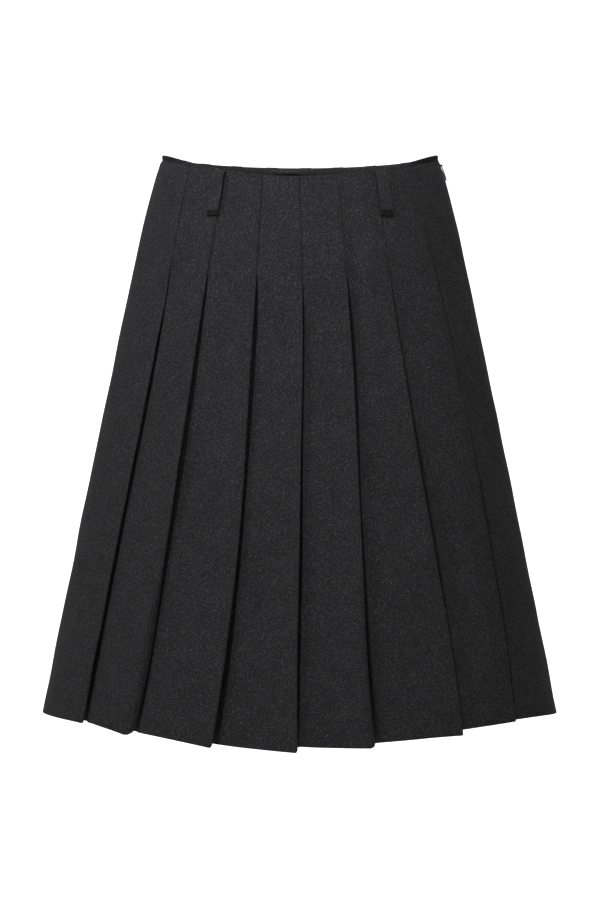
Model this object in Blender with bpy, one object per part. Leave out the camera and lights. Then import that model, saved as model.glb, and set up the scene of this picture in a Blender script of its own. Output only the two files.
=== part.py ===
# Pleated midi skirt, hollow as if worn, hanging from its waist.
# Metres, +Z up, -Y is the front. The origin is the middle of the waist opening,
# level with the waist edge at the two sides.

import math

import bmesh
import bpy
import numpy as np

for old in list(bpy.data.objects):
    bpy.data.objects.remove(old, do_unlink=True)

# ---- driving sizes of the cloth

WALL = 0.0012            # thickness of the woven cloth
LAYER_GAP = 0.0004       # air between the layers of a pressed pleat
LAYER = WALL + LAYER_GAP
SEAM_GAP = 0.0003        # between pieces that are sewn together

WAIST_HALF_WIDTH = 0.1545
WAIST_HALF_DEPTH = 0.088
WAIST_DIP_FRONT = 0.0336  # the front edge of the waist lies this far below the sides
WAIST_DIP_BACK = 0.0035
HEM_SIDE = 0.6395         # depth of the hem below the waist, at the sides
HEM_DROP = 0.026          # extra depth of the hem at the front and back centres
STITCHED_TO = 0.2         # share of the length over which the pleats are sewn down

WIDTH_FLARE = 0.1965      # growth of the half width per metre of depth
DEPTH_FLARE = 0.103
HIP_ROUND_WIDTH = 0.0085  # extra width that the hips take up just below the waist
HIP_ROUND_DEPTH = 0.006
HIP_ROUND_REACH = 0.060
SEAT_FULLNESS = 0.010     # the back stands out this much more at the seat
SEAT_DEPTH = 0.21
SEAT_REACH = 0.13

# One row for each knife pleat of a panel, from the wearer's right side to the left.
# Angles in degrees round the ring, 0 at the centre, where the fold lies at four depths.
# underlay: cloth hidden under the fold, in millimetres, at the waist and at the hem.
# lift and roll: how far the open fold stands out at the hem, and the radius of its turn.
# step: how much higher the next panel's hem starts. drop: how much lower the fold's own hem hangs.
# slot and deep: the open slot beside the fold at the hem, its width and its depth.
PLEATS = [
    # waist,  hip,  knee,   hem, underlay top, hem, lift, roll, step, drop, slot, deep
    (-50.0, -51.1, -54.3, -55.7, 10, 36, 5, 1.0, 2.0, 0.0, 2.8, 9),
    (-30.9, -33.2, -35.6, -38.8, 11, 38, 14, 6.5, 1.5, 3.2, 3.2, 8),
    (-14.7, -14.8, -16.1, -19.2, 11, 38, 6, 1.4, 3.5, 1.5, 6.4, 11),
    (-0.1, 0.5, -0.4, -0.7, 11, 38, 6, 1.0, 8.0, 0.5, 5.2, 11),
    (14.7, 15.7, 15.0, 16.1, 11, 38, 6, 4.5, 6.5, 0.0, 5.4, 11),
    (30.6, 32.9, 36.3, 37.5, 11, 38, 2.5, 1.0, 5.5, 1.5, 5.0, 10),
    (48.6, 55.4, 57.1, 55.6, 10, 36, 1.5, 1.0, 4.0, -2.0, 6.0, 9),
    (91.0, 91.5, 92.0, 92.0, 10, 34, 3, 1.0, 2.0, 0.0, 3.0, 7),
]
RIGHT_SIDE_FOLD = -12.0   # the right side fold lies this many degrees further back than the left one
RIGHT_SIDE_FULLNESS = 0.004   # and the cloth past it stands out over the hip, up to this much at the hem
ANGLES_AT = (0.04, 0.40, 0.74, 1.0)   # share of the length at which those angles hold
ROW_SHARES = (0.0, 0.05, 0.12, 0.20, 0.30, 0.45, 0.62, 0.81, 1.0)

# ---- driving sizes of the trimmings

FACING_THICK = 0.0010
FACING_GAP = 0.0008       # clear of the chords of the faceted panel
FACING_DEEP = 0.038
FACING_FROM, FACING_TO = 101.0, 259.0   # degrees round the ring

LOOP_WIDTH = 0.014
LOOP_THICK = 0.0020
LOOP_LENGTH = 0.052
LOOP_STANDOFF = 0.0062    # room for a belt behind the loop
LOOP_TOP_DROP = 0.0015    # the loop starts this far under the waist edge
LOOPS = [
    # name, degrees round the ring
    ("loop_front_right", -32.7),
    ("loop_front_left", 32.6),
    ("loop_back_left", 147.3),
    ("loop_back_right", 212.6),
]

ZIP_TAPE_WIDTH = 0.009
ZIP_TAPE_THICK = 0.0008
ZIP_LENGTH = 0.165
ZIP_START = 0.004
SLIDER_AT = 0.013         # depth of the slider's middle
SLIDER_SIZE = (0.0056, 0.0090, 0.0022)   # across, along the zip, out
PIN_RADIUS = 0.0005
KNUCKLE_HOLE = 0.00078
KNUCKLE_RADIUS = 0.0013
KNUCKLE_WIDTH = 0.0022
EAR_THICK = 0.0008
EAR_GAP = 0.00025         # between the knuckle and each ear
PIN_OUT = 0.0016          # the pin's height over the slider's face
PULL_LENGTH = 0.019
PULL_WIDTH = 0.0056
PULL_THICK = 0.0009


# ---- the form of the skirt

def half_width(depth):
    return WAIST_HALF_WIDTH + WIDTH_FLARE * depth + HIP_ROUND_WIDTH * (
        1 - np.exp(-np.maximum(depth, -0.02) / HIP_ROUND_REACH))


def half_depth(depth, angle):
    seat = SEAT_FULLNESS * np.exp(-((depth - SEAT_DEPTH) / SEAT_REACH) ** 2)
    return (WAIST_HALF_DEPTH + DEPTH_FLARE * depth
            + HIP_ROUND_DEPTH * (1 - np.exp(-np.maximum(depth, -0.02) / HIP_ROUND_REACH))
            + seat * np.maximum(-np.cos(angle), 0) ** 2)


def waist_height(angle):
    front = np.cos(angle) > 0
    return -np.where(front, WAIST_DIP_FRONT, WAIST_DIP_BACK) * np.cos(angle) ** 2


def hem_height(angle):
    return -(HEM_SIDE + HEM_DROP * np.cos(angle) ** 4)


def ring(angle, height, out):
    """A point at an angle round the body (0 is the front, 90 degrees is +X), at a height,
    moved straight out from the elliptical ring of that depth."""
    angle, height, out = np.broadcast_arrays(angle, height, out)
    wide = half_width(-height)
    deep = half_depth(-height, angle)
    nx, ny = np.sin(angle) / wide, -np.cos(angle) / deep
    size = np.hypot(nx, ny)
    return np.stack([wide * np.sin(angle) + out * nx / size,
                     -deep * np.cos(angle) + out * ny / size, height], axis=-1)


def arc_speed(angle, height):
    """Metres of ring for each radian at that angle."""
    return np.hypot(half_width(-height) * np.cos(angle),
                    half_depth(-height, angle) * np.sin(angle))


def along_length(values, share):
    """A fold's angle at a share of the length: a cubic through its four named angles."""
    total = 0.0
    for i, value in enumerate(values):
        weight = 1.0
        for j, at in enumerate(ANGLES_AT):
            if j != i:
                weight *= (share - at) / (ANGLES_AT[i] - at)
        total += value * weight
    return math.radians(total)


def opening(share):
    """How far a pleat has opened, from 0 at the end of its stitching to 1 at the hem."""
    q = min(max((share - STITCHED_TO) / (1 - STITCHED_TO), 0), 1)
    return math.sin(q * math.pi / 2)


def pleat(number, share):
    """Angles and heights off the ring of one pleat at a share of the skirt's length.
    number counts round the whole skirt; 0 is the fold at the wearer's right side."""
    turn, row = divmod(number - 1, len(PLEATS))
    waist, hip, knee, hem, under_top, under_hem, lift, roll, step, drop, slot, deep = PLEATS[row]
    moved = RIGHT_SIDE_FOLD if turn % 2 and row == len(PLEATS) - 1 else 0.0
    tip = along_length((waist, hip, knee, hem), share) + math.pi * turn + math.radians(moved)
    middle_height = float(waist_height(tip) * (1 - share) + hem_height(tip) * share)
    speed = float(arc_speed(tip, middle_height))
    open_share = opening(share)
    under = (under_top + (under_hem - under_top) * share) * 0.001 / speed
    radius = max(LAYER / 2, roll * 0.001 * open_share)
    closed = 3.4 if moved else 1.6
    shoulder = 2 * LAYER + RIGHT_SIDE_FULLNESS * open_share if moved else 0.0008 * open_share
    return {
        "tip": tip,
        "near": tip - max(0.0010, radius) / speed,
        "inner": tip - under,
        "inner_tip": tip - under - 0.0010 / speed,
        "top": 2 * LAYER + lift * 0.001 * open_share,
        "radius": radius,
        "lift": lift * 0.001 * open_share,
        "step": step * 0.001 * share ** 3,
        "drop": drop * 0.001 * share ** 3,
        "slot": (closed + (slot - closed) * open_share) * 0.001 / speed,
        "floor": -deep * 0.001 * open_share,
        "shoulder": shoulder,
    }


def panel_out(before, after, angle):
    """Height off the ring of the panel that runs from under fold `before` to fold `after`:
    deep under the fold, up the side of the slot, then rising gently to its own fold."""
    climb = np.clip((angle - before["tip"]) / before["slot"], 0, 1)
    climb = climb ** 2 * (3 - 2 * climb)
    q = np.clip((angle - before["tip"]) / (after["tip"] - before["tip"]), 0, 1)
    covered = (after["inner"] - before["tip"]) / (after["tip"] - before["tip"])
    ramp = np.clip(q / covered, 0, 1)
    return (before["floor"] + (before["shoulder"] - before["floor"]) * climb
            + (2 * LAYER - before["shoulder"]) * ramp ** 2 * (3 - 2 * ramp) + after["lift"] * q ** 1.6)


def cloth_line(first, last, share):
    """The middle line of the cloth at a share of the length, as rows of
    (angle, height off the ring, rise of the hem), from the seam under fold `first`
    to the seam under fold `last`."""
    points = []
    for number in range(first, last):
        before, after = pleat(number, share), pleat(number + 1, share)
        past_slot = before["tip"] + before["slot"]
        open_run = after["inner"] - past_slot
        panel = [before["inner"], before["near"], before["tip"], before["tip"] + before["slot"] / 2, past_slot]
        panel += [past_slot + open_run * f for f in (0.33, 0.67)]
        panel += [after["inner"], after["near"]]
        for angle in panel:
            done = np.clip((angle - before["inner"]) / (after["tip"] - before["inner"]), 0, 1)
            rise = before["step"] * (1 - done) - after["drop"] * done ** 3
            points.append((angle, float(panel_out(before, after, angle)), rise))
        top = points[-1][1]
        low = after["floor"] + LAYER + 0.1 * (after["lift"] - after["floor"])
        points.append((after["tip"], top - after["radius"], -0.5 * after["drop"]))
        points.append((after["near"], top - 2 * after["radius"], after["step"] * 0.5))
        points.append((after["inner"], low, after["step"] * 0.9))
        if number + 1 < last:
            points.append((after["inner_tip"], (low + after["floor"]) / 2, after["step"]))
    return np.array(points)


def wall_rows(line, share, half_thick):
    """Both faces of the wall round a middle line: the line moved each way along its own
    normal, with the corners mitred, then bent onto the ring."""
    angle, out, rise = line.T
    height = waist_height(angle) * (1 - share) + hem_height(angle) * share + rise
    speed = arc_speed(angle, height)
    run = np.diff(angle) * (speed[1:] + speed[:-1]) / 2
    climb = np.diff(out)
    length = np.hypot(run, climb)
    side = np.stack([-climb / length, run / length], axis=1)
    normal = np.vstack([side[:1], side[:-1] + side[1:], side[-1:]])
    normal /= np.linalg.norm(normal, axis=1, keepdims=True)
    mitre = 1 / np.clip((normal * np.vstack([side[:1], side])).sum(axis=1), 0.7, 1)
    moved = normal * mitre[:, None] * half_thick
    outer = ring(angle + moved[:, 0] / speed, height, out + moved[:, 1])
    inner = ring(angle - moved[:, 0] / speed, height, out - moved[:, 1])
    return outer, inner


# ---- meshes

def finish_mesh(name, vertices, faces, material, smooth=True):
    mesh = bpy.data.meshes.new(name)
    mesh.from_pydata([tuple(map(float, v)) for v in vertices], [], faces)
    box = bmesh.new()
    box.from_mesh(mesh)
    bmesh.ops.triangulate(box, faces=box.faces[:])
    bmesh.ops.recalc_face_normals(box, faces=box.faces[:])
    box.to_mesh(mesh)
    box.free()
    if smooth:
        mesh.shade_smooth()
        mesh.set_sharp_from_angle(angle=math.radians(40))
    mesh.materials.append(material)
    made = bpy.data.objects.new(name, mesh)
    bpy.context.scene.collection.objects.link(made)
    return made


def wall_solid(name, outer, inner, material):
    """A closed wall from two grids of points, outer and inner, each rows by columns."""
    rows, columns = outer.shape[:2]
    vertices = np.concatenate([outer.reshape(-1, 3), inner.reshape(-1, 3)])
    offset = rows * columns

    def at(row, column, side):
        return side * offset + row * columns + column

    faces = []
    for r in range(rows - 1):
        for c in range(columns - 1):
            faces.append((at(r, c, 0), at(r + 1, c, 0), at(r + 1, c + 1, 0), at(r, c + 1, 0)))
            faces.append((at(r, c, 1), at(r, c + 1, 1), at(r + 1, c + 1, 1), at(r + 1, c, 1)))
    for c in range(columns - 1):
        faces.append((at(0, c, 0), at(0, c + 1, 0), at(0, c + 1, 1), at(0, c, 1)))
        last = rows - 1
        faces.append((at(last, c, 1), at(last, c + 1, 1), at(last, c + 1, 0), at(last, c, 0)))
    for r in range(rows - 1):
        faces.append((at(r, 0, 1), at(r + 1, 0, 1), at(r + 1, 0, 0), at(r, 0, 0)))
        end = columns - 1
        faces.append((at(r, end, 0), at(r + 1, end, 0), at(r + 1, end, 1), at(r, end, 1)))
    return finish_mesh(name, vertices, faces, material)


def panel_piece(name, first, last, material):
    """A pleated panel: its wall at each row of the length, lofted down the skirt."""
    grids = [wall_rows(cloth_line(first, last, share), share, WALL / 2) for share in ROW_SHARES]
    outer = np.array([g[0] for g in grids])
    inner = np.array([g[1] for g in grids])
    return wall_solid(name, outer, inner, material)


def facing_piece(name, material):
    """A strip against the inside of the back waist."""
    angles = np.radians(np.linspace(FACING_FROM, FACING_TO, 33))
    face = -(WALL / 2 + FACING_GAP)
    grids = []
    for drop in (0.0, FACING_DEEP / 2, FACING_DEEP):
        height = waist_height(angles) - 0.0004 - drop
        grids.append((ring(angles, height, face), ring(angles, height, face - FACING_THICK)))
    return wall_solid(name, np.array([g[0] for g in grids]), np.array([g[1] for g in grids]), material)


def loop_piece(name, degrees, material):
    """A belt loop: a flat strip, sewn at both ends and bowed out between them."""
    middle = math.radians(degrees)
    top = float(waist_height(middle)) - LOOP_TOP_DROP
    speed = float(arc_speed(middle, top))
    across = middle + np.linspace(-0.5, 0.5, 5) * LOOP_WIDTH / speed
    seat = 2 * LAYER + WALL / 2 + SEAM_GAP
    profile = [
        # share of the loop's length, share of the stand-off
        (0.0, 0.0), (0.045, 0.0), (0.10, 0.55), (0.17, 1.0), (0.5, 1.0),
        (0.83, 1.0), (0.90, 0.55), (0.955, 0.0), (1.0, 0.0),
    ]
    inner, outer = [], []
    for down, stand in profile:
        base = seat + stand * LOOP_STANDOFF
        lean = 0.5 * LOOP_THICK * (1 if down < 0.5 else -1) if 0.04 < down < 0.2 or 0.8 < down < 0.96 else 0
        inner.append(ring(across, top - down * LOOP_LENGTH - lean, base))
        outer.append(ring(across, top - down * LOOP_LENGTH + lean, base + LOOP_THICK))
    return wall_solid(name, np.array(outer), np.array(inner), material)


# ---- the side zip, in its own frame on the surface behind the left side fold

def zip_seat(depth, arc, out):
    """A point on the back panel just behind the side fold: arc metres past the fold."""
    share = depth / HEM_SIDE
    before, after = pleat(len(PLEATS), share), pleat(len(PLEATS) + 1, share)
    speed = float(arc_speed(before["tip"], -depth))
    angle = before["tip"] + arc / speed
    lift = float(panel_out(before, after, angle))
    return ring(angle, float(waist_height(angle)) - depth, lift + WALL / 2 + out)


def zip_frame():
    """Corner and directions of the slider: across the zip, along it downwards, outwards."""
    middle = ZIP_TAPE_WIDTH / 2 + 0.0016
    centre = zip_seat(SLIDER_AT, middle, SEAM_GAP + ZIP_TAPE_THICK + SEAM_GAP)
    down = zip_seat(SLIDER_AT + 0.004, middle, 0.0) - zip_seat(SLIDER_AT - 0.004, middle, 0.0)
    across = zip_seat(SLIDER_AT, middle + 0.002, 0.0) - zip_seat(SLIDER_AT, middle - 0.002, 0.0)
    down /= np.linalg.norm(down)
    across -= down * np.dot(across, down)
    across /= np.linalg.norm(across)
    out = np.cross(down, across)
    if np.dot(out, centre) < 0:
        out = -out
    return centre, across, down, out


def zip_tape_piece(name, material):
    rows_out, rows_in = [], []
    for depth in np.linspace(ZIP_START, ZIP_START + ZIP_LENGTH, 9):
        arcs = 0.0016 + np.linspace(0, ZIP_TAPE_WIDTH, 5)
        rows_in.append([zip_seat(depth, arc, SEAM_GAP) for arc in arcs])
        rows_out.append([zip_seat(depth, arc, SEAM_GAP + ZIP_TAPE_THICK) for arc in arcs])
    return wall_solid(name, np.array(rows_out), np.array(rows_in), material)


def prism(outline, half_width_across):
    """A flat outline of (down, out) points, made solid across the zip."""
    count = len(outline)
    vertices = [(-half_width_across, d, o) for d, o in outline]
    vertices += [(half_width_across, d, o) for d, o in outline]
    faces = [tuple(range(count)), tuple(reversed(range(count, 2 * count)))]
    for i in range(count):
        j = (i + 1) % count
        faces.append((i, i + count, j + count, j))
    return vertices, faces


def circle(down, out, radius, count=16):
    return [(down + radius * math.cos(2 * math.pi * i / count),
             out + radius * math.sin(2 * math.pi * i / count)) for i in range(count)]


def local_piece(name, vertices, faces, material):
    """Places points given as (across, down, out) at the slider."""
    centre, across, down, out = zip_frame()
    placed = [centre + v[0] * across + v[1] * down + v[2] * out for v in vertices]
    return finish_mesh(name, placed, faces, material, smooth=False)


def join_bodies(base, others, operation):
    """Adds or cuts closed bodies, then leaves one plain mesh."""
    for other in others:
        step = base.modifiers.new(operation.lower(), "BOOLEAN")
        step.operation = operation
        step.solver = "EXACT"
        step.object = other
        bpy.context.view_layer.update()
        evaluated = base.evaluated_get(bpy.context.evaluated_depsgraph_get())
        mesh = bpy.data.meshes.new_from_object(evaluated)
        base.modifiers.clear()
        base.data = mesh
        bpy.data.objects.remove(other, do_unlink=True)
    return base


PIN_DOWN = -0.0022        # the pin sits towards the top of the slider
PIN_HEIGHT = SLIDER_SIZE[2] + PIN_OUT


def slider_piece(name, material):
    """A tapered block with two ears and a pin between them."""
    across, along, out = SLIDER_SIZE
    half = along / 2
    body = local_piece(name, *prism([(-half, 0.0), (half, 0.0), (half, out * 0.7), (half * 0.7, out),
                                     (-half * 0.8, out), (-half, out * 0.7)], across / 2), material)
    ear_middle = KNUCKLE_WIDTH / 2 + EAR_GAP + EAR_THICK / 2
    parts = []
    for sign in (-1, 1):
        points, faces = prism([(PIN_DOWN - 0.0013, out * 0.4), (PIN_DOWN + 0.0013, out * 0.4),
                               (PIN_DOWN + 0.0010, PIN_HEIGHT + 0.0006), (PIN_DOWN + 0.0004, PIN_HEIGHT + 0.0011),
                               (PIN_DOWN - 0.0004, PIN_HEIGHT + 0.0011), (PIN_DOWN - 0.0010, PIN_HEIGHT + 0.0006)],
                              EAR_THICK / 2)
        shifted = [(x + sign * ear_middle, d, o) for x, d, o in points]
        parts.append(local_piece("ear", shifted, faces, material))
    pin = prism(circle(PIN_DOWN, PIN_HEIGHT, PIN_RADIUS), ear_middle + EAR_THICK * 0.2)
    parts.append(local_piece("pin", *pin, material))
    return join_bodies(body, parts, "UNION")


def pull_piece(name, material):
    """A teardrop tab hanging from a knuckle round the pin."""
    knuckle = local_piece(name, *prism(circle(PIN_DOWN, PIN_HEIGHT, KNUCKLE_RADIUS), KNUCKLE_WIDTH / 2), material)
    start, end = KNUCKLE_RADIUS * 0.75, PULL_LENGTH
    outline = []
    for i in range(17):                     # half of the teardrop, neck to tip
        f = i / 16
        wide = 0.4 * KNUCKLE_WIDTH * (1 - f) + 0.5 * PULL_WIDTH * math.sin(math.pi * min(f, 0.995) ** 1.7) ** 0.8
        outline.append((wide if i < 16 else 0.0003, PIN_DOWN + start + (end - start) * f))
    rim = outline + [(-w, d) for w, d in reversed(outline)]
    count = len(rim)
    low, high = PIN_HEIGHT - PULL_THICK / 2, PIN_HEIGHT + PULL_THICK / 2
    vertices = [(w, d, low) for w, d in rim] + [(w, d, high) for w, d in rim]
    faces = [tuple(range(count)), tuple(reversed(range(count, 2 * count)))]
    faces += [(i, i + count, (i + 1) % count + count, (i + 1) % count) for i in range(count)]
    tab = local_piece("tab", vertices, faces, material)
    body = join_bodies(knuckle, [tab], "UNION")
    hole = local_piece("hole", *prism(circle(PIN_DOWN, PIN_HEIGHT, KNUCKLE_HOLE), KNUCKLE_WIDTH), material)
    return join_bodies(body, [hole], "DIFFERENCE")


def finish(name, colour, roughness, metallic=0.0):
    material = bpy.data.materials.new(name)
    material.use_nodes = True
    shader = material.node_tree.nodes["Principled BSDF"]
    shader.inputs["Base Color"].default_value = (*colour, 1.0)
    shader.inputs["Roughness"].default_value = roughness
    shader.inputs["Metallic"].default_value = metallic
    return material


def build():
    wool = finish("charcoal_wool", (0.026, 0.026, 0.029), 0.9)
    lining = finish("facing_cloth", (0.034, 0.034, 0.036), 0.85)
    tape = finish("zip_tape", (0.012, 0.012, 0.013), 0.8)
    metal = finish("dark_metal", (0.05, 0.05, 0.052), 0.4, 1.0)
    half = len(PLEATS)
    panel_piece("front", 0, half, wool)
    panel_piece("back", half, 2 * half, wool)
    facing_piece("back_facing", lining)
    for name, degrees in LOOPS:
        loop_piece(name, degrees, wool)
    zip_tape_piece("zip_tape", tape)
    slider_piece("zip_slider", metal)
    pull_piece("zip_pull", metal)
    centre, across, down, out = zip_frame()
    pin = centre + PIN_DOWN * down + PIN_HEIGHT * out
    print("zip pull axis through", [round(float(v), 5) for v in pin],
          "along", [round(float(v), 4) for v in across])


build()
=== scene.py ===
import math

import bpy
import numpy as np
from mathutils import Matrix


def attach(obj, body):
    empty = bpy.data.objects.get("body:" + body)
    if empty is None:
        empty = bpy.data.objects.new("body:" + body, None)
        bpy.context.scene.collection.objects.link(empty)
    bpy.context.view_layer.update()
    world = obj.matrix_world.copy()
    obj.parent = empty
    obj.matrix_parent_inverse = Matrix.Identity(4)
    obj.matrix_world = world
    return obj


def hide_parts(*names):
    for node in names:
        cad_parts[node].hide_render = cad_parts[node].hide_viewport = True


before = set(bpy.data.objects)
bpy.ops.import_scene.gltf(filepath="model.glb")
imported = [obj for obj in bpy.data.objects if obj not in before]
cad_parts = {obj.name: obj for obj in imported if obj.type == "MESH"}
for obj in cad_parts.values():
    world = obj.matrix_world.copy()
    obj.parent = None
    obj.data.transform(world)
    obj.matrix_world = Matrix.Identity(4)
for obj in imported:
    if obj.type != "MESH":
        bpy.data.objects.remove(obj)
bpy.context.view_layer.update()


def srgb(hexColour):
    # each channel of the hex value, from sRGB to linear light
    channels = [int(hexColour[i:i + 2], 16) / 255 for i in (1, 3, 5)]
    return [c / 12.92 if c <= 0.04045 else ((c + 0.055) / 1.055) ** 2.4 for c in channels] + [1.0]


def addNode(tree, kind, settings=None, inputs=None, links=None):
    # one node with its settings, its socket values and what feeds it
    node = tree.nodes.new(kind)
    for key, value in (settings or {}).items():
        setattr(node, key, value)
    for key, value in (inputs or {}).items():
        node.inputs[key].default_value = value
    for key, socket in (links or {}).items():
        tree.links.new(socket, node.inputs[key])
    return node


def smooth(x):
    # 0 below 0, 1 above 1, and an even S between them
    x = np.clip(x, 0, 1)
    return x * x * (3 - 2 * x)


# the form of the skirt: an ellipse at every depth that widens towards the hem, sizes in metres
skirtForm = {
    "wall": 0.0012,            # thickness of the suiting
    "layerGap": 0.0004,        # air between the layers of a pressed pleat
    "waistHalfWidth": 0.1545,
    "waistHalfDepth": 0.088,
    "waistDipFront": 0.0336,   # the front edge dips this far below the sides
    "waistDipBack": 0.0035,
    "hemSide": 0.6395,
    "hemDrop": 0.026,
    "length": 0.64,            # used for what lies close under the waist edge
    "widthFlare": 0.1965,      # growth for each metre of depth
    "depthFlare": 0.103,
    "hipRoundWidth": 0.0085,
    "hipRoundDepth": 0.006,
    "hipRoundReach": 0.060,
    "hipRoundAbove": 0.02,     # the rounding carries on this far above the zero height
    "seatFullness": 0.010,
    "seatDepth": 0.21,
    "seatReach": 0.13,
    "anglesAt": (0.04, 0.40, 0.74, 1.0),
}
layer = skirtForm["wall"] + skirtForm["layerGap"]
mm = 0.001

# one row for each knife pleat of a panel, from the wearer's right side to the left:
# degrees round the ring at the four depths of anglesAt, cloth hidden under the fold (mm) at waist
# and hem, how far the open fold lifts (mm), the radius of its turn at the hem (mm), the rise of the
# next panel's hem (mm), how much lower the fold's own hem hangs (mm), the open slot beside the
# fold (mm), the slot's depth (mm), and where the stitching ends and the slot is widest, as shares
# of the length
pleatTable = [
    (-50.0, -51.1, -54.3, -55.7, 10, 36, 3, 1.0, 2.0, 0.0, 1.5, 12, 0.18, 0.34),
    (-30.9, -33.9, -35.8, -38.8, 11, 38, 10, 8.5, 1.5, 3.2, 2.6, 16, 0.18, 0.40),
    (-14.7, -14.9, -16.1, -18.9, 11, 38, 6, 1.4, 3.5, 1.5, 4.4, 22, 0.175, 0.95),
    (-0.1, 0.5, -0.4, -0.7, 11, 38, 6, 1.0, 8.0, 0.5, 3.7, 24, 0.185, 0.75),
    (14.7, 15.8, 15.2, 16.1, 11, 38, 7, 5.5, 6.5, 0.0, 6.2, 23, 0.18, 0.95),
    (30.6, 32.9, 36.3, 37.5, 11, 38, 2.0, 1.0, 5.5, 1.5, 7.0, 21, 0.18, 0.62),
    (48.6, 55.4, 57.1, 55.6, 10, 36, 0.8, 1.0, 4.0, -2.0, 9.0, 21, 0.12, 0.74),
    (91.0, 91.5, 92.0, 92.0, 10, 34, 3, 1.0, 2.0, 0.0, 3.0, 9, 0.285, 0.50),
]
rightSide = {"fold": -12.0,        # degrees that the right side fold lies behind the left one
             "fullness": 0.004,    # the cloth past it stands out over the hip, most at the hem
             "closedSlot": 0.0034}


def hipRound(depth):
    # rises from 0 at the waist to 1 over the hip bone
    return 1 - np.exp(-np.maximum(depth, -skirtForm["hipRoundAbove"]) / skirtForm["hipRoundReach"])


def halfWidth(depth):
    # a straight flare plus a short rounding over the hip bone
    f = skirtForm
    return f["waistHalfWidth"] + f["widthFlare"] * depth + f["hipRoundWidth"] * hipRound(depth)


def halfDepth(depth, angle):
    # the same from front to back, plus a soft bell for the seat on the back half
    f = skirtForm
    seat = f["seatFullness"] * np.exp(-((depth - f["seatDepth"]) / f["seatReach"]) ** 2)
    return (f["waistHalfDepth"] + f["depthFlare"] * depth + f["hipRoundDepth"] * hipRound(depth)
            + seat * np.maximum(-np.cos(angle), 0) ** 2)


def waistHeight(angle):
    # the waist edge dips as the square of the cosine, deeper in front than behind
    dip = np.where(np.cos(angle) > 0, skirtForm["waistDipFront"], skirtForm["waistDipBack"])
    return -dip * np.cos(angle) ** 2


def hemHeight(angle):
    # the hem hangs lower at the middle of the front and of the back
    return -(skirtForm["hemSide"] + skirtForm["hemDrop"] * np.cos(angle) ** 4)


def clothHeight(angle, share):
    # straight from the waist edge at share 0 to the hem at share 1
    return waistHeight(angle) * (1 - share) + hemHeight(angle) * share


def ring(angle, height, out):
    # a point at an angle round the body, 0 at the front and 90 degrees at +X,
    # moved straight out from the ellipse of that depth
    angle, height, out = np.broadcast_arrays(angle, height, out)
    wide, deep = halfWidth(-height), halfDepth(-height, angle)
    nx, ny = np.sin(angle) / wide, -np.cos(angle) / deep
    size = np.hypot(nx, ny)
    return np.stack([wide * np.sin(angle) + out * nx / size,
                     -deep * np.cos(angle) + out * ny / size, height], axis=-1)


def arcSpeed(angle, height):
    # metres of ring for each radian
    return np.hypot(halfWidth(-height) * np.cos(angle), halfDepth(-height, angle) * np.sin(angle))


def foldAngle(row, share):
    # a cubic through the fold's four angles
    at = skirtForm["anglesAt"]
    total = 0.0
    for i in range(4):
        weight = 1.0
        for j in range(4):
            if j != i:
                weight = weight * (share - at[j]) / (at[i] - at[j])
        total = total + row[i] * weight
    return np.radians(total)


# how every pleat opens under its stitching: metres, and shares of the length
openingForm = {
    "waver": 0.0006,           # pressed folds are never quite straight
    "waverWaves": (5.3, 9.1, 14.7),
    "partsWithin": 0.07,       # the slot parts over this share, just under the stitching
    "gape": 0.28,              # how much wider the slot is than usual where it is widest
    "gapeWave": 9,
    "pressedRadius": 0.001,    # of the fold's turn, before it grows rounder towards the hem
    "rounderFrom": 0.60,
    "rounderOver": 0.25,
    "closedSlot": 0.0015,      # the slot where it is sewn down
    "sewnShoulder": 0.0019,    # how far the cloth beside a sewn slot stands out
    "openShoulder": 0.0008,
    "pucker": 0.0004,          # the stitching draws the cloth up a little, unevenly
    "puckerWaves": (260, 97),
    "seamEase": 0.0007,        # the layers are thicker above the waist seam
    "seamFrom": 0.004,
    "seamOver": 0.022,
    "liftPower": 1.6,          # how late across the panel its open fold lifts
    "wallFrom": 0.5,           # the slot's far wall climbs over the rest of its width
    "recess": 0.0022,          # the cloth dips just past the slot
    "recessReach": 0.012,
    "hollow": 0.0050,          # and sinks between two folds
}


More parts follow.
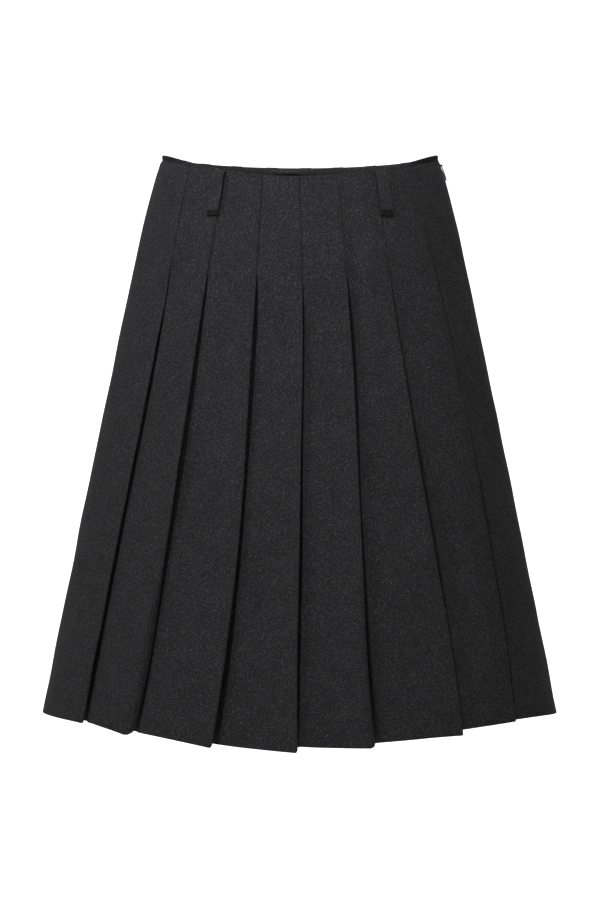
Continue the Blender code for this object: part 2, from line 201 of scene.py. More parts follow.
def pleat(number, share):
    # where one pleat lies at each share of the length; number counts round the whole skirt
    f = openingForm
    turn, index = divmod(number - 1, len(pleatTable))
    row = pleatTable[index]
    underTop, underHem, lift, roll, step, drop, slot, slotDeep, sewnTo, widestAt = row[4:]
    atRight = turn % 2 and index == len(pleatTable) - 1
    tip = foldAngle(row, share) + math.pi * turn + (math.radians(rightSide["fold"]) if atRight else 0)
    speed = arcSpeed(tip, clothHeight(tip, share))
    waver = sum(np.sin(wave * share + 1.7 * number * k + k * k)
                for k, wave in enumerate(f["waverWaves"], 1)) * f["waver"] / 2
    tip = tip + waver * smooth(share * 6) / speed

    q = np.clip((share - sewnTo) / (1 - sewnTo), 0, 1)
    opened = np.sin(q * math.pi / 2)              # how far the fold has lifted
    parted = 1 - np.exp(-q / f["partsWithin"])    # how far the slot has parted
    rounder = smooth((share - f["rounderFrom"]) / f["rounderOver"])
    radius = np.maximum(layer / 2, f["pressedRadius"] * opened * (1 + (roll - 1) * rounder))
    under = (underTop + (underHem - underTop) * share) * mm / speed

    gape = 1 + f["gape"] * np.cos(f["gapeWave"] * (share - widestAt))
    closed = rightSide["closedSlot"] if atRight else f["closedSlot"]

    longWave, shortWave = f["puckerWaves"]
    pucker = 0.5 + 0.5 * np.sin(share * longWave + 3 * number) * np.sin(share * shortWave + number)
    seam = smooth((share - f["seamFrom"]) / f["seamOver"])       # the waist seam holds the fold shut
    sewn = f["sewnShoulder"] + f["pucker"] * pucker + f["seamEase"] * (1 - seam)
    shoulder = sewn * (1 - parted) + f["openShoulder"] * parted
    if atRight:
        shoulder = 2 * layer + rightSide["fullness"] * opened
    return {"tip": tip, "near": tip - radius / speed, "inner": tip - under, "radius": radius,
            "speed": speed, "parted": parted, "shoulder": shoulder,
            "slot": closed + (slot * mm * gape - closed) * parted,
            "floor": -slotDeep * mm * parted,
            "lift": lift * mm * opened,
            "step": step * mm * share ** 3,
            "drop": drop * mm * share ** 3}


def panelOut(before, after, angle):
    # under the fold the panel lies deep; past the fold it climbs out of the slot to its shoulder,
    # then rises slowly over the pleat it covers, towards its own fold
    f = openingForm
    past = (angle - before["tip"]) * before["speed"]
    climb = smooth((past - f["wallFrom"] * before["slot"]) / ((1 - f["wallFrom"]) * before["slot"]))
    q = np.clip((angle - before["tip"]) / (after["tip"] - before["tip"]), 0, 1)
    covered = (after["inner"] - before["tip"]) / (after["tip"] - before["tip"])
    rise = (2 * layer - before["shoulder"]) * smooth(q / covered) + after["lift"] * q ** f["liftPower"]
    recess = f["recess"] * np.exp(-np.maximum(past - before["slot"], 0) / f["recessReach"])
    hollow = f["hollow"] * np.sin(math.pi * q) * np.cos(angle) ** 2
    return before["floor"] + (before["shoulder"] - before["floor"]) * climb + rise - (
        before["parted"] * (recess * climb + hollow))


# soft creases: degrees round the ring, depth of the middle, half length down, half width round,
# height (mm, minus is a trough) and lean (mm across for each mm down)
creaseTable = [
    (-70, 0.013, 0.007, 0.022, -2.6, 0.05),
    (-80, 0.035, 0.030, 0.008, -1.2, 0.25),
    (-62, 0.050, 0.035, 0.009, 0.7, 0.1),
    (-40, 0.100, 0.050, 0.007, -0.6, -0.1),
    (-6, 0.100, 0.060, 0.006, -0.5, 0.0),
    (19, 0.090, 0.060, 0.005, -2.2, 0.06),
    (19, 0.165, 0.055, 0.006, -4.0, 0.03),
    (62, 0.155, 0.050, 0.007, -4.5, 0.24),
    (66, 0.300, 0.060, 0.014, -5.0, 0.22),
    (-31, 0.380, 0.060, 0.009, -4.5, -0.26),
    (43, 0.480, 0.065, 0.011, -3.6, 0.14),
    (-47, 0.140, 0.060, 0.007, -2.4, -0.22),
    (3, 0.230, 0.060, 0.007, -2.2, 0.02),
    (-12, 0.250, 0.070, 0.007, -2.0, -0.04),
    (18, 0.560, 0.060, 0.008, -3.4, 0.05),
    (42, 0.575, 0.050, 0.009, -3.0, 0.10),
    (-9, 0.520, 0.070, 0.009, -2.6, -0.05),
    (68, 0.013, 0.007, 0.024, -2.6, -0.05),
    (63, 0.095, 0.035, 0.008, -3.4, 0.5),
    (76, 0.150, 0.060, 0.008, -0.9, 0.3),
    (-24, 0.300, 0.120, 0.009, -0.7, 0.05),
    (42, 0.360, 0.130, 0.010, -0.7, 0.05),
    (8, 0.450, 0.110, 0.010, 0.6, 0.0),
    (-66, 0.330, 0.160, 0.012, -0.9, 0.10),
    (72, 0.420, 0.150, 0.013, -0.9, 0.12),
    (112, 0.022, 0.012, 0.018, -1.3, 0.0),
    (120, 0.120, 0.050, 0.009, -1.1, 0.2),
    (156, 0.060, 0.040, 0.008, -0.7, 0.0),
    (172, 0.140, 0.060, 0.009, -0.9, -0.1),
    (201, 0.090, 0.045, 0.008, -0.8, 0.1),
    (232, 0.030, 0.018, 0.014, -1.2, 0.2),
    (248, 0.130, 0.060, 0.010, -1.0, 0.3),
    (137, 0.380, 0.140, 0.011, -0.8, 0.05),
    (188, 0.420, 0.130, 0.010, -0.7, 0.0),
    (222, 0.360, 0.120, 0.011, -0.8, 0.1),
]


def creases(angle, height):
    # a sum of soft bells, each longer down the cloth than across it
    total = np.zeros_like(angle)
    for degrees, depth, halfLong, halfWide, size, lean in creaseTable:
        down = -height - depth
        turn = (angle - math.radians(degrees) + math.pi) % (2 * math.pi) - math.pi
        across = turn * arcSpeed(angle, height) - lean * down
        total += size * mm * np.exp(-(down / halfLong) ** 2 - (across / halfWide) ** 2)
    return total


# the seam line a few millimetres under the waist edge, and what it does to the cloth
waistSeam = {
    "down": 0.0046,            # from the edge to the middle of the groove
    "halfHigh": 0.0014,
    "depth": 0.0003,
    "uneven": 0.0002,
    "bead": 0.0002,            # the turned edge above it is a little proud
    "beadReach": 0.002,
    "cornerAt": 0.92,          # sine of the angle at which the waist's corners are pinched
    "cornerReach": 0.10,
    "cornerDepth": 0.0022,
    "cornerDown": 0.001,
    "cornerHigh": 0.0012,
    "bulgeAt": 185,            # degrees: there the back's layers bulge inwards, and shade what is below
    "bulgeHalfWide": 7,
    "bulge": 0.0046,
    "bulgeFullAt": 0.006,
    "bulgeEndsAt": 0.0125,
    "bulgeFade": 0.0065,
}


def waistGroove(angle, share):
    # two bells down the cloth: a low bead at the edge and a groove under it, deeper at the corners
    f = waistSeam
    corner = np.exp(-((np.abs(np.sin(angle)) - f["cornerAt"]) / f["cornerReach"]) ** 2)
    uneven = f["uneven"] * np.sin(angle * 7 + 1) * np.sin(angle * 3)
    depth = f["depth"] + uneven + f["cornerDepth"] * corner
    down = share * skirtForm["length"]
    groove = (down - f["down"] - f["cornerDown"] * corner) / (f["halfHigh"] + f["cornerHigh"] * corner)
    return f["bead"] * np.exp(-(down / f["beadReach"]) ** 2) - depth * np.exp(-groove ** 2)


def waistLean(angle, down):
    # the inward bulge under the back edge: a bell round the ring that comes and goes down the cloth
    f = waistSeam
    turn = (angle - math.radians(f["bulgeAt"])) / math.radians(f["bulgeHalfWide"])
    return f["bulge"] * np.exp(-turn ** 2) * smooth(down / f["bulgeFullAt"]) * smooth(
        (f["bulgeEndsAt"] - down) / f["bulgeFade"])


# the slow unevenness of hanging cloth: wave length down and round (m), and height (mm)
unevenWaves = [(0.19, 0.11, 0.50), (0.11, 0.07, 0.28), (0.07, 0.15, 0.22)]
unevenForm = {"seed": 40, "meanRadius": 0.2,
              "oneTurn": 6.28}     # radians, near enough for waves


def undulation(angle, height, seed):
    # crossed sine waves, each with its own phases
    f = unevenForm
    rng = np.random.default_rng(seed)
    total = 0.0
    for longWave, roundWave, size in unevenWaves:
        a, b = rng.uniform(0, f["oneTurn"], 2)
        total = total + size * mm * np.sin(-height * f["oneTurn"] / longWave + a) * np.sin(
            angle * f["meanRadius"] * f["oneTurn"] / roundWave + b)
    return total


# columns and rows of the pleated cloth, and how it hangs
pastSlot = 1.15                  # the close columns run this many slots past the fold
clothGrid = {
    "rows": 108,
    "nearWaist": [0, 0.0005, 0.0013, 0.003, 0.0045, 0.006, 0.0075, 0.009, 0.011],
    "nearHem": [0.9987, 0.9995, 1],
    "hidden": np.linspace(0, 0.97, 5),           # columns under the fold before
    "slot": np.linspace(0, pastSlot, 9),         # columns across the open slot
    "open": np.linspace(0.09, 1, 12),            # columns over the rest of the panel
    "turn": np.radians([60, 30, 0, -30, -60]),
    "back": np.linspace(0, 1, 7),
    "innerTurn": np.radians([45, 0, -45]),
}
clothHang = {
    "edgeRound": 0.0013,       # the wall thins in a round over this share at the waist and the hem
    "edgeLeast": 0.3,
    "shownOver": 0.008,        # metres past a fold over which creases and unevenness come in
    "stillAtWaist": 0.35,      # share of the unevenness that the waist seam leaves
    "stillTo": 0.02,
    "freeWithin": 9,           # one over the share of the length in which the cloth gets free
    "unevenAtWaist": 0.5,
    "unevenGrows": 0.9,
    "sag": 0.15,               # cloth deep in a slot hangs this much lower for each metre inwards
    "bevel": 0.5,              # a round fold's hem turns up, by this much of its radius
    "turnTakes": 0.6,          # share of the hem's step that the fold's turn takes up
    "returnLifts": 0.1,        # how far the return inside follows its fold outwards
}


def lengthShares():
    # even rows, with close ones at both edges so that they can be rounded
    return np.concatenate([clothGrid["nearWaist"], np.linspace(0.014, 0.996, clothGrid["rows"]),
                           clothGrid["nearHem"]])[:, None]


def edgeThickness(share):
    # a quarter round from the least thickness at the edge to the whole wall
    least = clothHang["edgeLeast"]
    fromEdge = np.minimum(share, 1 - share) / clothHang["edgeRound"]
    return least + (1 - least) * np.sqrt(1 - (1 - np.clip(fromEdge, 0, 1)) ** 2)


def panelLine(before, after, share, seed):
    # the panel between two folds: its shape over the pleat, with creases, unevenness and seam
    f = clothHang
    slotEnd = before["tip"] + pastSlot * before["slot"] / before["speed"]
    angle = np.hstack([before["inner"] + (before["tip"] - before["inner"]) * clothGrid["hidden"],
                       before["tip"] + before["slot"] / before["speed"] * clothGrid["slot"],
                       slotEnd + (after["near"] - slotEnd) * clothGrid["open"]])
    height = clothHeight(angle, share)
    shown = smooth((angle - before["tip"]) * before["speed"] / f["shownOver"])
    fromSeam = smooth((share - f["stillTo"]) * f["freeWithin"])
    free = shown * (f["stillAtWaist"] + (1 - f["stillAtWaist"]) * fromSeam)
    out = panelOut(before, after, angle) + shown * creases(angle, height)
    out = out + free * undulation(angle, height, seed) * (f["unevenAtWaist"] + f["unevenGrows"] * share)
    out = out + shown * waistGroove(angle, share) - waistLean(angle, share * skirtForm["length"])
    done = np.clip((angle - before["inner"]) / (after["tip"] - before["inner"]), 0, 1)
    rise = before["step"] * (1 - done) - after["drop"] * done ** 3 + f["sag"] * np.minimum(out, 0)
    return angle, out, rise


def clothLine(first, last):
    # the cloth's middle line at every row, walked pleat by pleat: panel, fold, return, inner fold.
    # gives angle, distance off the ring and rise of the hem, each rows by columns
    f = clothHang
    share = lengthShares()
    parts = []
    for number in range(first, last):
        before, after = pleat(number, share), pleat(number + 1, share)
        panel = panelLine(before, after, share, unevenForm["seed"] + number)
        parts.append(panel)

        # the fold's turn is an arc from the panel's last column
        top, radius = panel[1][:, -1:], after["radius"]
        turn = clothGrid["turn"][None, :]
        bevel = f["bevel"] * np.maximum(radius - mm, 0) * (1 - np.sin(turn)) * share ** 6
        parts.append((after["near"] + radius * np.cos(turn) / after["speed"],
                      top - radius + radius * np.sin(turn),
                      after["step"] * f["turnTakes"] * (0.5 - turn / math.pi)
                      - after["drop"] * (0.5 + turn / math.pi) + bevel))

        # the return runs straight back under the fold
        spot = clothGrid["back"][None, :]
        low = after["floor"] + layer + f["returnLifts"] * (after["lift"] - after["floor"])
        parts.append((after["near"] + (after["inner"] - after["near"]) * spot,
                      (top - 2 * radius) * (1 - spot) + low * spot,
                      after["step"] * (f["turnTakes"] + (1 - f["turnTakes"]) * spot)
                      + f["sag"] * low * spot + bevel[:, -1:] * (1 - 0.5 * spot)))

        # the inner fold is an arc down to the next panel
        if number + 1 < last:
            turn = clothGrid["innerTurn"][None, :]
            small = (low - after["floor"]) / 2
            parts.append((after["inner"] - small * np.cos(turn) / after["speed"],
                          after["floor"] + small + small * np.sin(turn),
                          after["step"] * np.ones_like(turn) * np.ones_like(share)))
    return (share, *(np.hstack(columns) for columns in zip(*parts)))


def wallFaces(share, angle, out, rise):
    # both faces of the wall: the line moved each way along its own normal with mitred corners
    height = clothHeight(angle, share) + rise
    speed = arcSpeed(angle, height)
    run = np.diff(angle, axis=1) * (speed[:, 1:] + speed[:, :-1]) / 2
    climb = np.diff(out, axis=1)
    length = np.hypot(run, climb)
    side = np.stack([-climb / length, run / length], axis=-1)
    normal = np.concatenate([side[:, :1], side[:, :-1] + side[:, 1:], side[:, -1:]], axis=1)
    normal /= np.linalg.norm(normal, axis=-1, keepdims=True)
    leading = np.concatenate([side[:, :1], side], axis=1)
    mitre = 1 / np.clip((normal * leading).sum(axis=-1), 0.75, 1)      # a sharp corner isn't drawn out
    moved = normal * (mitre * edgeThickness(share) * skirtForm["wall"] / 2)[..., None]
    outer = ring(angle + moved[..., 0] / speed, height, out + moved[..., 1])
    inner = ring(angle - moved[..., 0] / speed, height, out - moved[..., 1])
    travelled = np.concatenate([np.zeros_like(length[:, :1]), np.cumsum(length, axis=1)], axis=1)
    return outer, inner, travelled, height


def gridSolid(name, outer, inner, flatU, flatV, material):
    # a closed wall between two grids of points, with the cloth's flat place as its UV map in metres
    rows, columns = outer.shape[:2]
    front, back = np.arange(2 * rows * columns).reshape(2, rows, columns)

    def quads(a, b, c, d):
        return np.stack([a.ravel(), b.ravel(), c.ravel(), d.ravel()], axis=1)

    faces = np.concatenate([
        quads(front[:-1, :-1], front[1:, :-1], front[1:, 1:], front[:-1, 1:]),
        quads(back[:-1, :-1], back[:-1, 1:], back[1:, 1:], back[1:, :-1]),
        quads(front[0, :-1], front[0, 1:], back[0, 1:], back[0, :-1]),
        quads(front[-1, :-1], back[-1, :-1], back[-1, 1:], front[-1, 1:]),
        quads(front[:-1, 0], back[:-1, 0], back[1:, 0], front[1:, 0]),
        quads(front[:-1, -1], front[1:, -1], back[1:, -1], back[:-1, -1]),
    ])
    points = np.concatenate([outer.reshape(-1, 3), inner.reshape(-1, 3)])
    return putMesh(name, points, faces, np.tile(flatU.ravel(), 2), np.tile(flatV.ravel(), 2), material)


def putMesh(name, points, faces, flatU, flatV, material):
    # an object from arrays of points and four-sided faces, with one flat place for each point
    mesh = bpy.data.meshes.new(name)
    mesh.vertices.add(len(points))
    mesh.vertices.foreach_set("co", points.astype(np.float32).ravel())
    mesh.loops.add(faces.size)
    mesh.loops.foreach_set("vertex_index", faces.astype(np.int32).ravel())
    mesh.polygons.add(len(faces))
    mesh.polygons.foreach_set("loop_start", np.arange(0, faces.size, 4, dtype=np.int32))
    mesh.update(calc_edges=True)
    mesh.validate()
    flat = mesh.uv_layers.new(name="flat")
    corners = faces.ravel()
    places = np.stack([flatU[corners], flatV[corners]], axis=1)
    flat.data.foreach_set("uv", places.astype(np.float32).ravel())
    mesh.shade_smooth()
    mesh.materials.append(material)
    made = bpy.data.objects.new(name, mesh)
    bpy.context.scene.collection.objects.link(made)
    return made


def pleatedPanel(name, first, last, material):
    # one panel of the skirt with its pleats, and its sizes when it is laid flat
    share, angle, out, rise = clothLine(first, last)
    outer, inner, travelled, height = wallFaces(share, angle, out, rise)
    middle = travelled.shape[1] // 2
    flatU = travelled - travelled[:, middle:middle + 1]
    made = gridSolid(name, outer, inner, flatU, np.broadcast_to(-height, flatU.shape), material)
    widths = travelled[:, -1]
    lengths = np.linalg.norm(np.diff(outer, axis=0), axis=-1).sum(axis=0)
    return made, float(widths.max()), float(lengths.mean()), float(widths.mean() * lengths.mean())


# the facing inside the back waist
facingForm = {
    "deep": 0.038,
    "from": 101.0,             # degrees
    "to": 259.0,
    "gap": 0.0014,
    "thick": 0.0010,
    "turnedOver": 0.0008,      # the suiting is turned over the edge and shows above the facing
    "unevenEdge": 0.015,       # share of its depth
    "edgeLeast": 0.3,
    "edgeRound": 0.03,
    "roll": 0.0009,            # the seam draws the top edge towards the suiting
    "ripple": 0.00025,
    "columns": 160,
    "rows": 24,
    "flatRadius": 0.12,        # turns its angle to metres, for the twill
}


def backFacing(material):
    # a shallow strip that follows the inside of the back edge, a little uneven at its lower edge
    f = facingForm
    angle = np.radians(np.linspace(f["from"], f["to"], f["columns"]))[None, :]
    share = np.concatenate([[0, 0.012, 0.03], np.linspace(0.06, 0.95, f["rows"]), [0.985, 1]])[:, None]
    deep = f["deep"] * (1 + f["unevenEdge"] * np.sin(angle * 9))
    height = waistHeight(angle) - f["turnedOver"] - share * (deep - f["turnedOver"])
    edge = f["edgeLeast"] + (1 - f["edgeLeast"]) * smooth(np.minimum(share, 1 - share) / f["edgeRound"])
    roll = f["roll"] * smooth(1 - share * 10)
    middle = -(skirtForm["wall"] / 2 + f["gap"] + f["thick"] / 2) + roll - waistLean(angle, share * deep)
    ripple = f["ripple"] * np.sin(angle * 31) * share
    outer = ring(angle, height, middle - ripple + edge * f["thick"] / 2)
    inner = ring(angle, height, middle - ripple - edge * f["thick"] / 2)
    flatU = angle * f["flatRadius"] + 0 * share
    return gridSolid("facing", outer, inner, flatU, np.broadcast_to(-height, flatU.shape), material)


# the belt loops, with the degrees round the ring at which each is sewn on
loopPlaces = {"loop_front_right": -32.7, "loop_front_left": 32.6,
              "loop_back_left": 147.3, "loop_back_right": 212.6}
loopForm = {
    "width": 0.0140,
    "thick": 0.0020,
    "length": 0.052,
    "standOff": 0.0044,        # how far the middle bows off the waist
    "topDrop": 0.0004,
    "seat": 2 * layer + skirtForm["wall"] / 2 + 0.0003,
    "bowFrom": 0.02,           # shares of the length over which it leaves the cloth and comes back
    "bowOver": 0.12,
    "bowTo": 0.975,
    "bowBackOver": 0.09,
    "endLeast": 0.25,
    "endRound": 0.02,
    "squareWide": 0.28,        # powers that make a round section a flat strip
    "squareThick": 0.6,
    "lean": 0.0006,
    "cup": 0.00025,            # the strip's outer face is a little hollow
    "rows": 46,
    "columns": 29,
}


def beltLoop(node, degrees, material):
    # a folded strip: its section is a flattened round, carried down a path that bows off the waist
    f = loopForm
    middle = math.radians(degrees)
    top = float(waistHeight(middle)) - f["topDrop"]
    speed = float(arcSpeed(middle, top - f["length"] / 2))
    down = np.linspace(0, 1, f["rows"])[:, None]
    stand = smooth((down - f["bowFrom"]) / f["bowOver"]) * smooth((f["bowTo"] - down) / f["bowBackOver"])
    ends = f["endLeast"] + (1 - f["endLeast"]) * smooth(np.minimum(down, 1 - down) / f["endRound"])
    around = np.linspace(0, 2 * math.pi, f["columns"])[None, :]
    flat = np.abs(np.cos(around)) ** f["squareWide"] * np.sign(np.cos(around))
    thick = np.abs(np.sin(around)) ** f["squareThick"] * np.sign(np.sin(around))
    lean = f["lean"] * math.sin(degrees)
    across = flat * f["width"] / 2 * (1 - 0.02 * np.sin(down * 9)) + lean * (down - 0.5)
    cup = -f["cup"] * (1 - (flat ** 2)) * stand
    out = f["seat"] + stand * f["standOff"] + f["thick"] / 2 * (1 + thick * ends) + cup
    height = top - down * f["length"] + 0 * around
    points = ring(middle + across / speed, height, out)[:, :-1]      # the last column is the first again

    rows, columns = points.shape[:2]
    index = np.arange(rows * columns).reshape(rows, columns)
    nextColumn = np.roll(index, -1, axis=1)
    faces = np.stack([index[:-1], index[1:], nextColumn[1:], nextColumn[:-1]], axis=-1).reshape(-1, 4)
    k = np.arange(columns // 2 - 1)
    near, far = (k, k + 1), (columns - 2 - k, columns - 1 - k)
    capTop = np.stack([index[0, near[0]], index[0, near[1]], index[0, far[0]], index[0, far[1]]], axis=1)
    capLow = np.stack([index[-1, near[0]], index[-1, far[1]], index[-1, far[0]], index[-1, near[1]]], axis=1)
    faces = np.concatenate([faces, capTop, capLow])
    flatU = (across + 0 * down)[:, :-1] + degrees * 0.01
    flatV = (down * f["length"] + 0 * around)[:, :-1]
    return putMesh(node + "_cloth", points.reshape(-1, 3), faces, flatU.ravel(), flatV.ravel(), material)


# the suiting and the facing: dyed charcoal fibre, with undyed grey ones and black ones blended in
woolLook = {
    "base": "#202022",
    "light": "#6c6b6b",
    "dark": "#0e0e0f",
    "fleckSize": 0.0008,       # metres; real fibres are finer, drawn as coarse as they need to show
    "mottleSize": 0.022,
    "twill": 0.0016,           # spacing of the twill lines, drawn at twice the real one
}
facingLook = {                 # a paler, more neutral cloth of the same kind
    "base": "#272727",
    "light": "#6a6a6c",
    "dark": "#141414",
    "fleckSize": 0.0010,
    "mottleSize": 0.016,
    "twill": 0.0016,
}
blendLook = {                  # what both cloths share
    "fleckShape": (1.1, 1.1, 0.6),      # flecks are short fibres: longer down the cloth than across it
    "darkShift": (3.1, 7.7, 1.3),       # moves the black flecks off the pale ones
    "darkFiner": 0.9,
    "flecksFrom": 0.54,        # where in the noise a fleck begins, and where it is whole
    "flecksTo": 0.80,
    "lightMost": 0.75,
    "darkMost": 0.9,
    "mottle": (0.91, 1.09),
    "twillTurn": 63,           # degrees to the length of the cloth
    "twillInBump": 0.35,
    "bump": 0.35,
    "bumpHeight": 0.0004,
    "roughness": 0.92,
    "specular": 0.12,
    "sheen": 0.06,
    "sheenRoughness": 0.45,
    "sheenTint": "#9a9aa0",
}
wavePeriod = 0.314             # Scale 1 of a Wave texture repeats at this length, in metres


def newMaterial(name):
    # an empty material with its tree, its shader and a socket of Object coordinates
    material = bpy.data.materials.new(name)
    material.use_nodes = True
    tree = material.node_tree
    place = addNode(tree, "ShaderNodeTexCoord")
    return material, tree, tree.nodes["Principled BSDF"], place.outputs["Object"]


def flecked(name, look):
    # milled wool: no gloss, a soft fuzz that catches light at grazing angles, and a blend of fibres
    # that reads as fine pale and black flecks over charcoal
    f = blendLook
    material, tree, shader, place = newMaterial(name)
    moved = addNode(tree, "ShaderNodeMapping", inputs={"Location": f["darkShift"]}, links={"Vector": place})
    drawn = addNode(tree, "ShaderNodeMapping", inputs={"Scale": f["fleckShape"]}, links={"Vector": place})
    lightNoise = addNode(tree, "ShaderNodeTexNoise",
                         inputs={"Scale": 1 / look["fleckSize"], "Detail": 1.5, "Roughness": 0.6},
                         links={"Vector": drawn.outputs["Vector"]})
    darkNoise = addNode(tree, "ShaderNodeTexNoise",
                        inputs={"Scale": f["darkFiner"] / look["fleckSize"], "Detail": 1.5, "Roughness": 0.6},
                        links={"Vector": moved.outputs["Vector"]})
    mottle = addNode(tree, "ShaderNodeTexNoise", inputs={"Scale": 1 / look["mottleSize"], "Detail": 3.0},
                     links={"Vector": moved.outputs["Vector"]})
    whole = {"From Min": f["flecksFrom"], "From Max": f["flecksTo"]}
    lightAmount = addNode(tree, "ShaderNodeMapRange", inputs={**whole, "To Max": f["lightMost"]},
                          links={"Value": lightNoise.outputs["Fac"]})
    darkAmount = addNode(tree, "ShaderNodeMapRange", inputs={**whole, "To Max": f["darkMost"]},
                         links={"Value": darkNoise.outputs["Fac"]})
    # in a colour Mix, input 6 is A, input 7 is B and output 2 is the blend
    withLight = addNode(tree, "ShaderNodeMix", {"data_type": "RGBA"},
                        {6: srgb(look["base"]), 7: srgb(look["light"])},
                        {0: lightAmount.outputs["Result"]})
    withDark = addNode(tree, "ShaderNodeMix", {"data_type": "RGBA"}, {7: srgb(look["dark"])},
                       {0: darkAmount.outputs["Result"], 6: withLight.outputs[2]})
    palest = {"To Min": f["mottle"][0], "To Max": f["mottle"][1]}
    uneven = addNode(tree, "ShaderNodeMapRange", inputs={"From Min": 0.3, "From Max": 0.7, **palest},
                     links={"Value": mottle.outputs["Fac"]})
    colour = addNode(tree, "ShaderNodeVectorMath", {"operation": "SCALE"},
                     links={0: withDark.outputs[2], "Scale": uneven.outputs["Result"]})
    tree.links.new(colour.outputs["Vector"], shader.inputs["Base Color"])

    # twill lines run at a slant across the flat cloth, and the pale fibres stand up a little
    flat = addNode(tree, "ShaderNodeUVMap", {"uv_map": "flat"})
    turned = addNode(tree, "ShaderNodeMapping", inputs={"Rotation": (0, 0, math.radians(f["twillTurn"]))},
                     links={"Vector": flat.outputs["UV"]})
    twill = addNode(tree, "ShaderNodeTexWave", {"bands_direction": "X"},
                    {"Scale": wavePeriod / look["twill"], "Distortion": 1.2, "Detail": 2.0,
                     "Detail Scale": 2.0},
                    {"Vector": turned.outputs["Vector"]})
    heightSum = addNode(tree, "ShaderNodeMath", {"operation": "MULTIPLY_ADD"}, {1: f["twillInBump"]},
                        {0: twill.outputs["Fac"], 2: lightNoise.outputs["Fac"]})
    bump = addNode(tree, "ShaderNodeBump", inputs={"Strength": f["bump"], "Distance": f["bumpHeight"]},
                   links={"Height": heightSum.outputs["Value"]})
    tree.links.new(bump.outputs["Normal"], shader.inputs["Normal"])
    shader.inputs["Roughness"].default_value = f["roughness"]
    shader.inputs["Specular IOR Level"].default_value = f["specular"]
    shader.inputs["Sheen Weight"].default_value = f["sheen"]
    shader.inputs["Sheen Roughness"].default_value = f["sheenRoughness"]
    shader.inputs["Sheen Tint"].default_value = srgb(f["sheenTint"])
    return material


# the zip's tape and its two metal pieces; ribs and patches are so many to a metre
tapeLook = {"low": "#1d1d1e", "high": "#2b2b2c", "ribs": 1400.0, "bump": 0.3, "bumpHeight": 0.0002,
            "roughness": 0.7, "specular": 0.25}


def zipTapeCloth():
    # tightly woven polyester tape: matt, with fine ribs
    f = tapeLook
    material, tree, shader, place = newMaterial("woven polyester zip tape")
    rib = addNode(tree, "ShaderNodeTexNoise", inputs={"Scale": f["ribs"], "Detail": 1.0},
                  links={"Vector": place})
    colour = addNode(tree, "ShaderNodeMix", {"data_type": "RGBA"},
                     {6: srgb(f["low"]), 7: srgb(f["high"])}, {0: rib.outputs["Fac"]})
    tree.links.new(colour.outputs[2], shader.inputs["Base Color"])
    bump = addNode(tree, "ShaderNodeBump", inputs={"Strength": f["bump"], "Distance": f["bumpHeight"]},
                   links={"Height": rib.outputs["Fac"]})
    tree.links.new(bump.outputs["Normal"], shader.inputs["Normal"])
    shader.inputs["Roughness"].default_value = f["roughness"]
    shader.inputs["Specular IOR Level"].default_value = f["specular"]
    return material


zincLook = {"enamel": "#262628", "rubbed": "#4a4a4d", "patches": 500.0, "smoothest": 0.28, "roughest": 0.5,
            "metallic": 0.6}


def enamelledZinc():
    # die-cast zinc dipped in dark enamel: a tight satin gloss, rubbed a little paler in patches
    f = zincLook
    material, tree, shader, place = newMaterial("dark enamelled zinc, die-cast")
    rub = addNode(tree, "ShaderNodeTexNoise", inputs={"Scale": f["patches"], "Detail": 3.0},
                  links={"Vector": place})
    colour = addNode(tree, "ShaderNodeMix", {"data_type": "RGBA"},
                     {6: srgb(f["enamel"]), 7: srgb(f["rubbed"])}, {0: rub.outputs["Fac"]})
    tree.links.new(colour.outputs[2], shader.inputs["Base Color"])
    gloss = addNode(tree, "ShaderNodeMapRange", inputs={"To Min": f["smoothest"], "To Max": f["roughest"]},
                    links={"Value": rub.outputs["Fac"]})
    tree.links.new(gloss.outputs["Result"], shader.inputs["Roughness"])
    shader.inputs["Metallic"].default_value = f["metallic"]
    return material


# camera, paper and light: a high lamp at the left, a soft one in front, and white paper all round
studio = {
    "cameraPlace": (0, -2.875, -0.338),
    "lens": 100,               # mm, on a frame 36 mm wide
    "aim": (0, 0, -0.2),       # both lamps point here
    "keyPlace": (-2.6, -1.9, 1.9),
    "keySize": 0.9,
    "keyPower": 46,
    "fillPlace": (-0.08, -0.95, 0.85),
    "fillSize": 0.7,
    "fillPower": 17.0,
    "world": 0.23,
    "floorHeight": -1.05,
    "floorFrom": -6,
    "wallFrom": 0.7,           # past this depth the paper is lit from its own lamps
    "bendFrom": 4.5,
    "bendRadius": 1.2,
    "wallTop": 7.0,
    "halfWidth": 8,
    "paper": "#f4f4f4",
    "seenWhite": 1.05,         # how bright that paper looks, and how much light it throws forwards
    "bouncedWhite": 0.25,
}
scene = bpy.context.scene
camera = bpy.data.objects.new("camera", bpy.data.cameras.new("camera"))
camera.data.lens, camera.data.sensor_width = studio["lens"], 36
camera.location = studio["cameraPlace"]
camera.rotation_euler = (math.radians(90), 0, 0)
scene.collection.objects.link(camera)
scene.camera = camera
scene.view_settings.view_transform = "Standard"


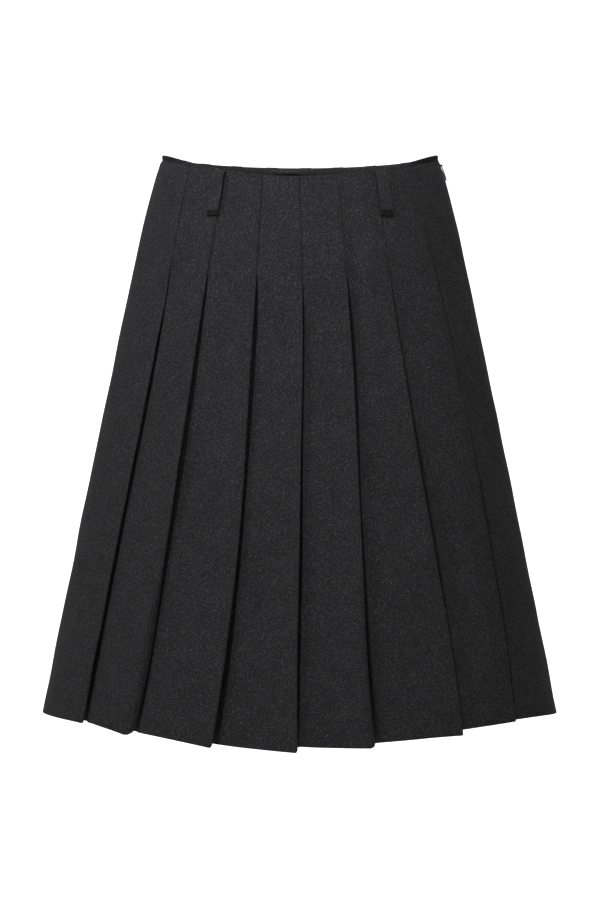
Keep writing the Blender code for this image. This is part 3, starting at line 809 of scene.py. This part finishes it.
def paperSheet(name, depth, rise, glow):
    # a wide sheet of matt white paper along a profile of (depth, rise) points
    wide = np.linspace(-studio["halfWidth"], studio["halfWidth"], 9)
    points = np.stack([np.tile(wide, (len(depth), 1)), np.tile(depth[:, None], (1, len(wide))),
                       np.tile(rise[:, None], (1, len(wide))) + studio["floorHeight"]], axis=-1)
    index = np.arange(len(depth) * len(wide)).reshape(len(depth), len(wide))
    faces = np.stack([index[:-1, :-1], index[:-1, 1:], index[1:, 1:], index[1:, :-1]], axis=-1).reshape(-1, 4)
    paper = bpy.data.materials.new("matt white paper, " + name)
    paper.use_nodes = True
    shader = paper.node_tree.nodes["Principled BSDF"]
    shader.inputs["Base Color"].default_value = srgb(studio["paper"])
    shader.inputs["Roughness"].default_value = 0.95
    shader.inputs["Emission Color"].default_value = (1, 1, 1, 1)
    if glow:
        path = addNode(paper.node_tree, "ShaderNodeLightPath")
        strength = addNode(paper.node_tree, "ShaderNodeMapRange",
                           inputs={"To Min": studio["bouncedWhite"], "To Max": studio["seenWhite"]},
                           links={"Value": path.outputs["Is Camera Ray"]})
        paper.node_tree.links.new(strength.outputs["Result"], shader.inputs["Emission Strength"])
    zero = np.zeros(index.size)
    putMesh(name, points.reshape(-1, 3), faces, zero, zero, paper)


def paleFloor():
    # a floor near the skirt, and from there on a lit paper sweep that curves up to a far wall
    s = studio
    radius, wallDepth = s["bendRadius"], s["bendFrom"] + s["bendRadius"]
    paperSheet("floor", np.linspace(s["floorFrom"], s["wallFrom"], 8), np.zeros(8), False)
    bend = np.linspace(0, math.pi / 2, 16)
    depth = np.concatenate([[s["wallFrom"], 2.5], s["bendFrom"] + radius * np.sin(bend), [wallDepth] * 2])
    rise = np.concatenate([[0.0, 0.0], radius - radius * np.cos(bend), [4.0, s["wallTop"]]])
    paperSheet("backdrop", depth, rise, True)


def areaLight(name, place, target, size, power):
    # a round lamp that points from its place to the target
    light = bpy.data.lights.new(name, "AREA")
    light.shape, light.size, light.energy = "DISK", size, power
    made = bpy.data.objects.new(name, light)
    made.location = place
    direction = np.array(target) - np.array(place)
    flatRun = math.hypot(direction[0], direction[1])
    made.rotation_euler = (math.atan2(flatRun, -direction[2]), 0, math.atan2(-direction[0], direction[1]))
    scene.collection.objects.link(made)


paleFloor()
world = bpy.data.worlds.new("studio")
scene.world = world
world.use_nodes = True
background = world.node_tree.nodes["Background"]
background.inputs["Color"].default_value = (1, 1, 1, 1)
background.inputs["Strength"].default_value = studio["world"]
for lamp in ("key", "fill"):
    areaLight(lamp, studio[lamp + "Place"], studio["aim"], studio[lamp + "Size"], studio[lamp + "Power"])
print("studio ready")

wool = flecked("charcoal melange wool suiting, woven and brushed", woolLook)
pleatCount = len(pleatTable)
for node, first in (("front", 0), ("back", pleatCount)):
    panel, flatWidth, flatLength, flatArea = pleatedPanel(node + "_pleated", first, first + pleatCount, wool)
    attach(panel, "skirt")
    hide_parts(node)
    print(node, "ready, flat", round(flatWidth, 3), round(flatLength, 3), round(flatArea, 3))

facing = backFacing(flecked("grey melange facing cloth", facingLook))
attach(facing, "skirt")
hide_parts("back_facing")
print("facing ready")

for node, degrees in loopPlaces.items():
    loop = beltLoop(node, degrees, wool)
    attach(loop, "skirt")
    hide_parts(node)
print("belt loops ready")

zinc = enamelledZinc()
tapeCloth = zipTapeCloth()
for node, material in (("zip_tape", tapeCloth), ("zip_slider", zinc), ("zip_pull", zinc)):
    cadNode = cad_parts[node]
    cadNode.data.materials.clear()
    cadNode.data.materials.append(material)
print("zip ready")
